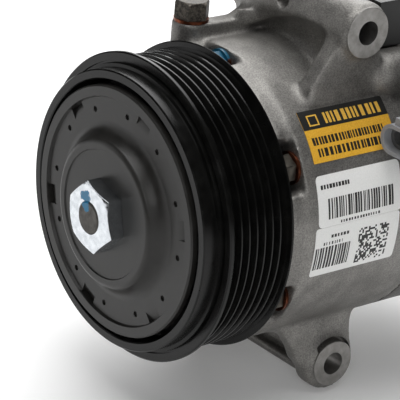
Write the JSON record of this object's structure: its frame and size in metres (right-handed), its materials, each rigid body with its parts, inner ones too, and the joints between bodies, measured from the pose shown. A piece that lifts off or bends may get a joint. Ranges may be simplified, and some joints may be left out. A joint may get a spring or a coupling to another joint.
{
  "type": "automotive ac compressor",
  "caption": "Swash-plate air conditioning compressor with a multi-rib belt pulley, cast mounting brackets and an electric control valve.",
  "frame": {"origin": "on the shaft axis, at the centre plane of the belt grooves", "axes": "-Y along the shaft towards the hub nut, X along the mounting bores, +Z towards the oil plug and the upper bracket"},
  "size_m": [0.1459, 0.1914, 0.1581],
  "materials": {
    "cast_housing": "grainy die-cast skin, machined on the mounting faces",
    "cast_block": "grainy die-cast skin",
    "cast_rear": "grainy die-cast skin",
    "gasket": "black coated gasket edge",
    "steel": "machined",
    "spring_steel": "blued spring steel",
    "bolt_steel": "dark patinated steel",
    "copper": "copper-coloured crush washer",
    "plug_steel": "dark patinated steel",
    "seal_rubber": "smooth black rubber",
    "bearing_steel": "ground",
    "piston_alloy": "turned",
    "black_plastic": "moulded, fine grain",
    "connector_plastic": "light grey moulded plastic",
    "terminal_brass": "plated",
    "connector_rubber": "silicone seal",
    "sticker_yellow": "printed film, black upper band over golden yellow",
    "sticker_white": "printed white film with plain bars and a block pattern",
    "pulley_paint": "gloss black coating",
    "damper_rubber": "black rubber",
    "hub_steel": "dark steel",
    "disc_paint": "dark grey satin coating",
    "zinc": "bright zinc plating with a dab of blue marking paint",
    "shaft_steel": "dark turned steel with a dab of blue marking paint",
    "swash_coating": "bronze-coated plate"
  },
  "bodies": {
    "housing": {"front_housing": "cast_housing", "cylinder_block": "cast_block", "rear_housing": "cast_rear", "front_gasket": "gasket", "rear_gasket": "gasket", "valve_plate": "steel", "suction_reed_plate": "spring_steel", "discharge_reed_plate": "spring_steel", "through_bolts": "bolt_steel", "bolt_washers": "copper", "oil_plug": "plug_steel", "oil_plug_washer": "copper", "locating_dowels": "steel", "shaft_seal": "seal_rubber", "seal_retaining_ring": "spring_steel", "front_needle_bearing": "bearing_steel", "rear_needle_bearing": "bearing_steel", "front_thrust_bearing": "bearing_steel", "rear_thrust_bearing": "bearing_steel", "pulley_bearing_inner_race": "bearing_steel", "pulley_snap_ring": "spring_steel", "piston_1": "piston_alloy", "piston_2": "piston_alloy", "piston_3": "piston_alloy", "piston_4": "piston_alloy", "piston_5": "piston_alloy", "piston_6": "piston_alloy", "piston_shoes": "bearing_steel", "control_valve_body": "steel", "control_valve_coil": "black_plastic", "control_valve_o_rings": "seal_rubber", "control_valve_clip": "spring_steel", "connector_socket": "connector_plastic", "connector_pins": "terminal_brass", "connector_seal": "connector_rubber", "relief_valve": "terminal_brass", "discharge_check_valve": "black_plastic", "port_cover": "black_plastic", "port_cover_screw": "steel", "upper_sticker": "sticker_yellow", "lower_sticker": "sticker_white"},
    "rotor": {"pulley": "pulley_paint", "pulley_bearing_outer_race": "bearing_steel", "damper_rubbers": "damper_rubber", "inner_hub": "hub_steel", "hub_disc": "disc_paint", "hub_nut": "zinc", "drive_shaft": "shaft_steel", "lug_plate": "hub_steel", "swash_plate": "swash_coating", "hinge_pin": "steel", "destroke_spring": "spring_steel", "return_spring": "spring_steel"},
    "bearing_cage": {"bearing_balls": "bearing_steel", "bearing_cage": "terminal_brass"},
    "valve_plunger": {"control_valve_plunger": "steel"}
  },
  "joints": [
    {"name": "rotor_spin", "type": "hinge", "parent": "housing", "child": "rotor", "pos_m": [0, 0, 0], "axis": [0, -1, 0], "continuous": true},
    {"name": "cage_spin", "type": "hinge", "parent": "housing", "child": "bearing_cage", "pos_m": [0, 0, 0], "axis": [0, -1, 0], "continuous": true},
    {"name": "valve_stroke", "type": "slide", "parent": "housing", "child": "valve_plunger", "axis": [0, 1, 0], "range_m": [0, 0.0015], "stiffness_N_per_m": 400}
  ],
  "couplings": [
    {"joint": "cage_spin", "follows": "rotor_spin", "ratio": 0.5733}
  ]
}
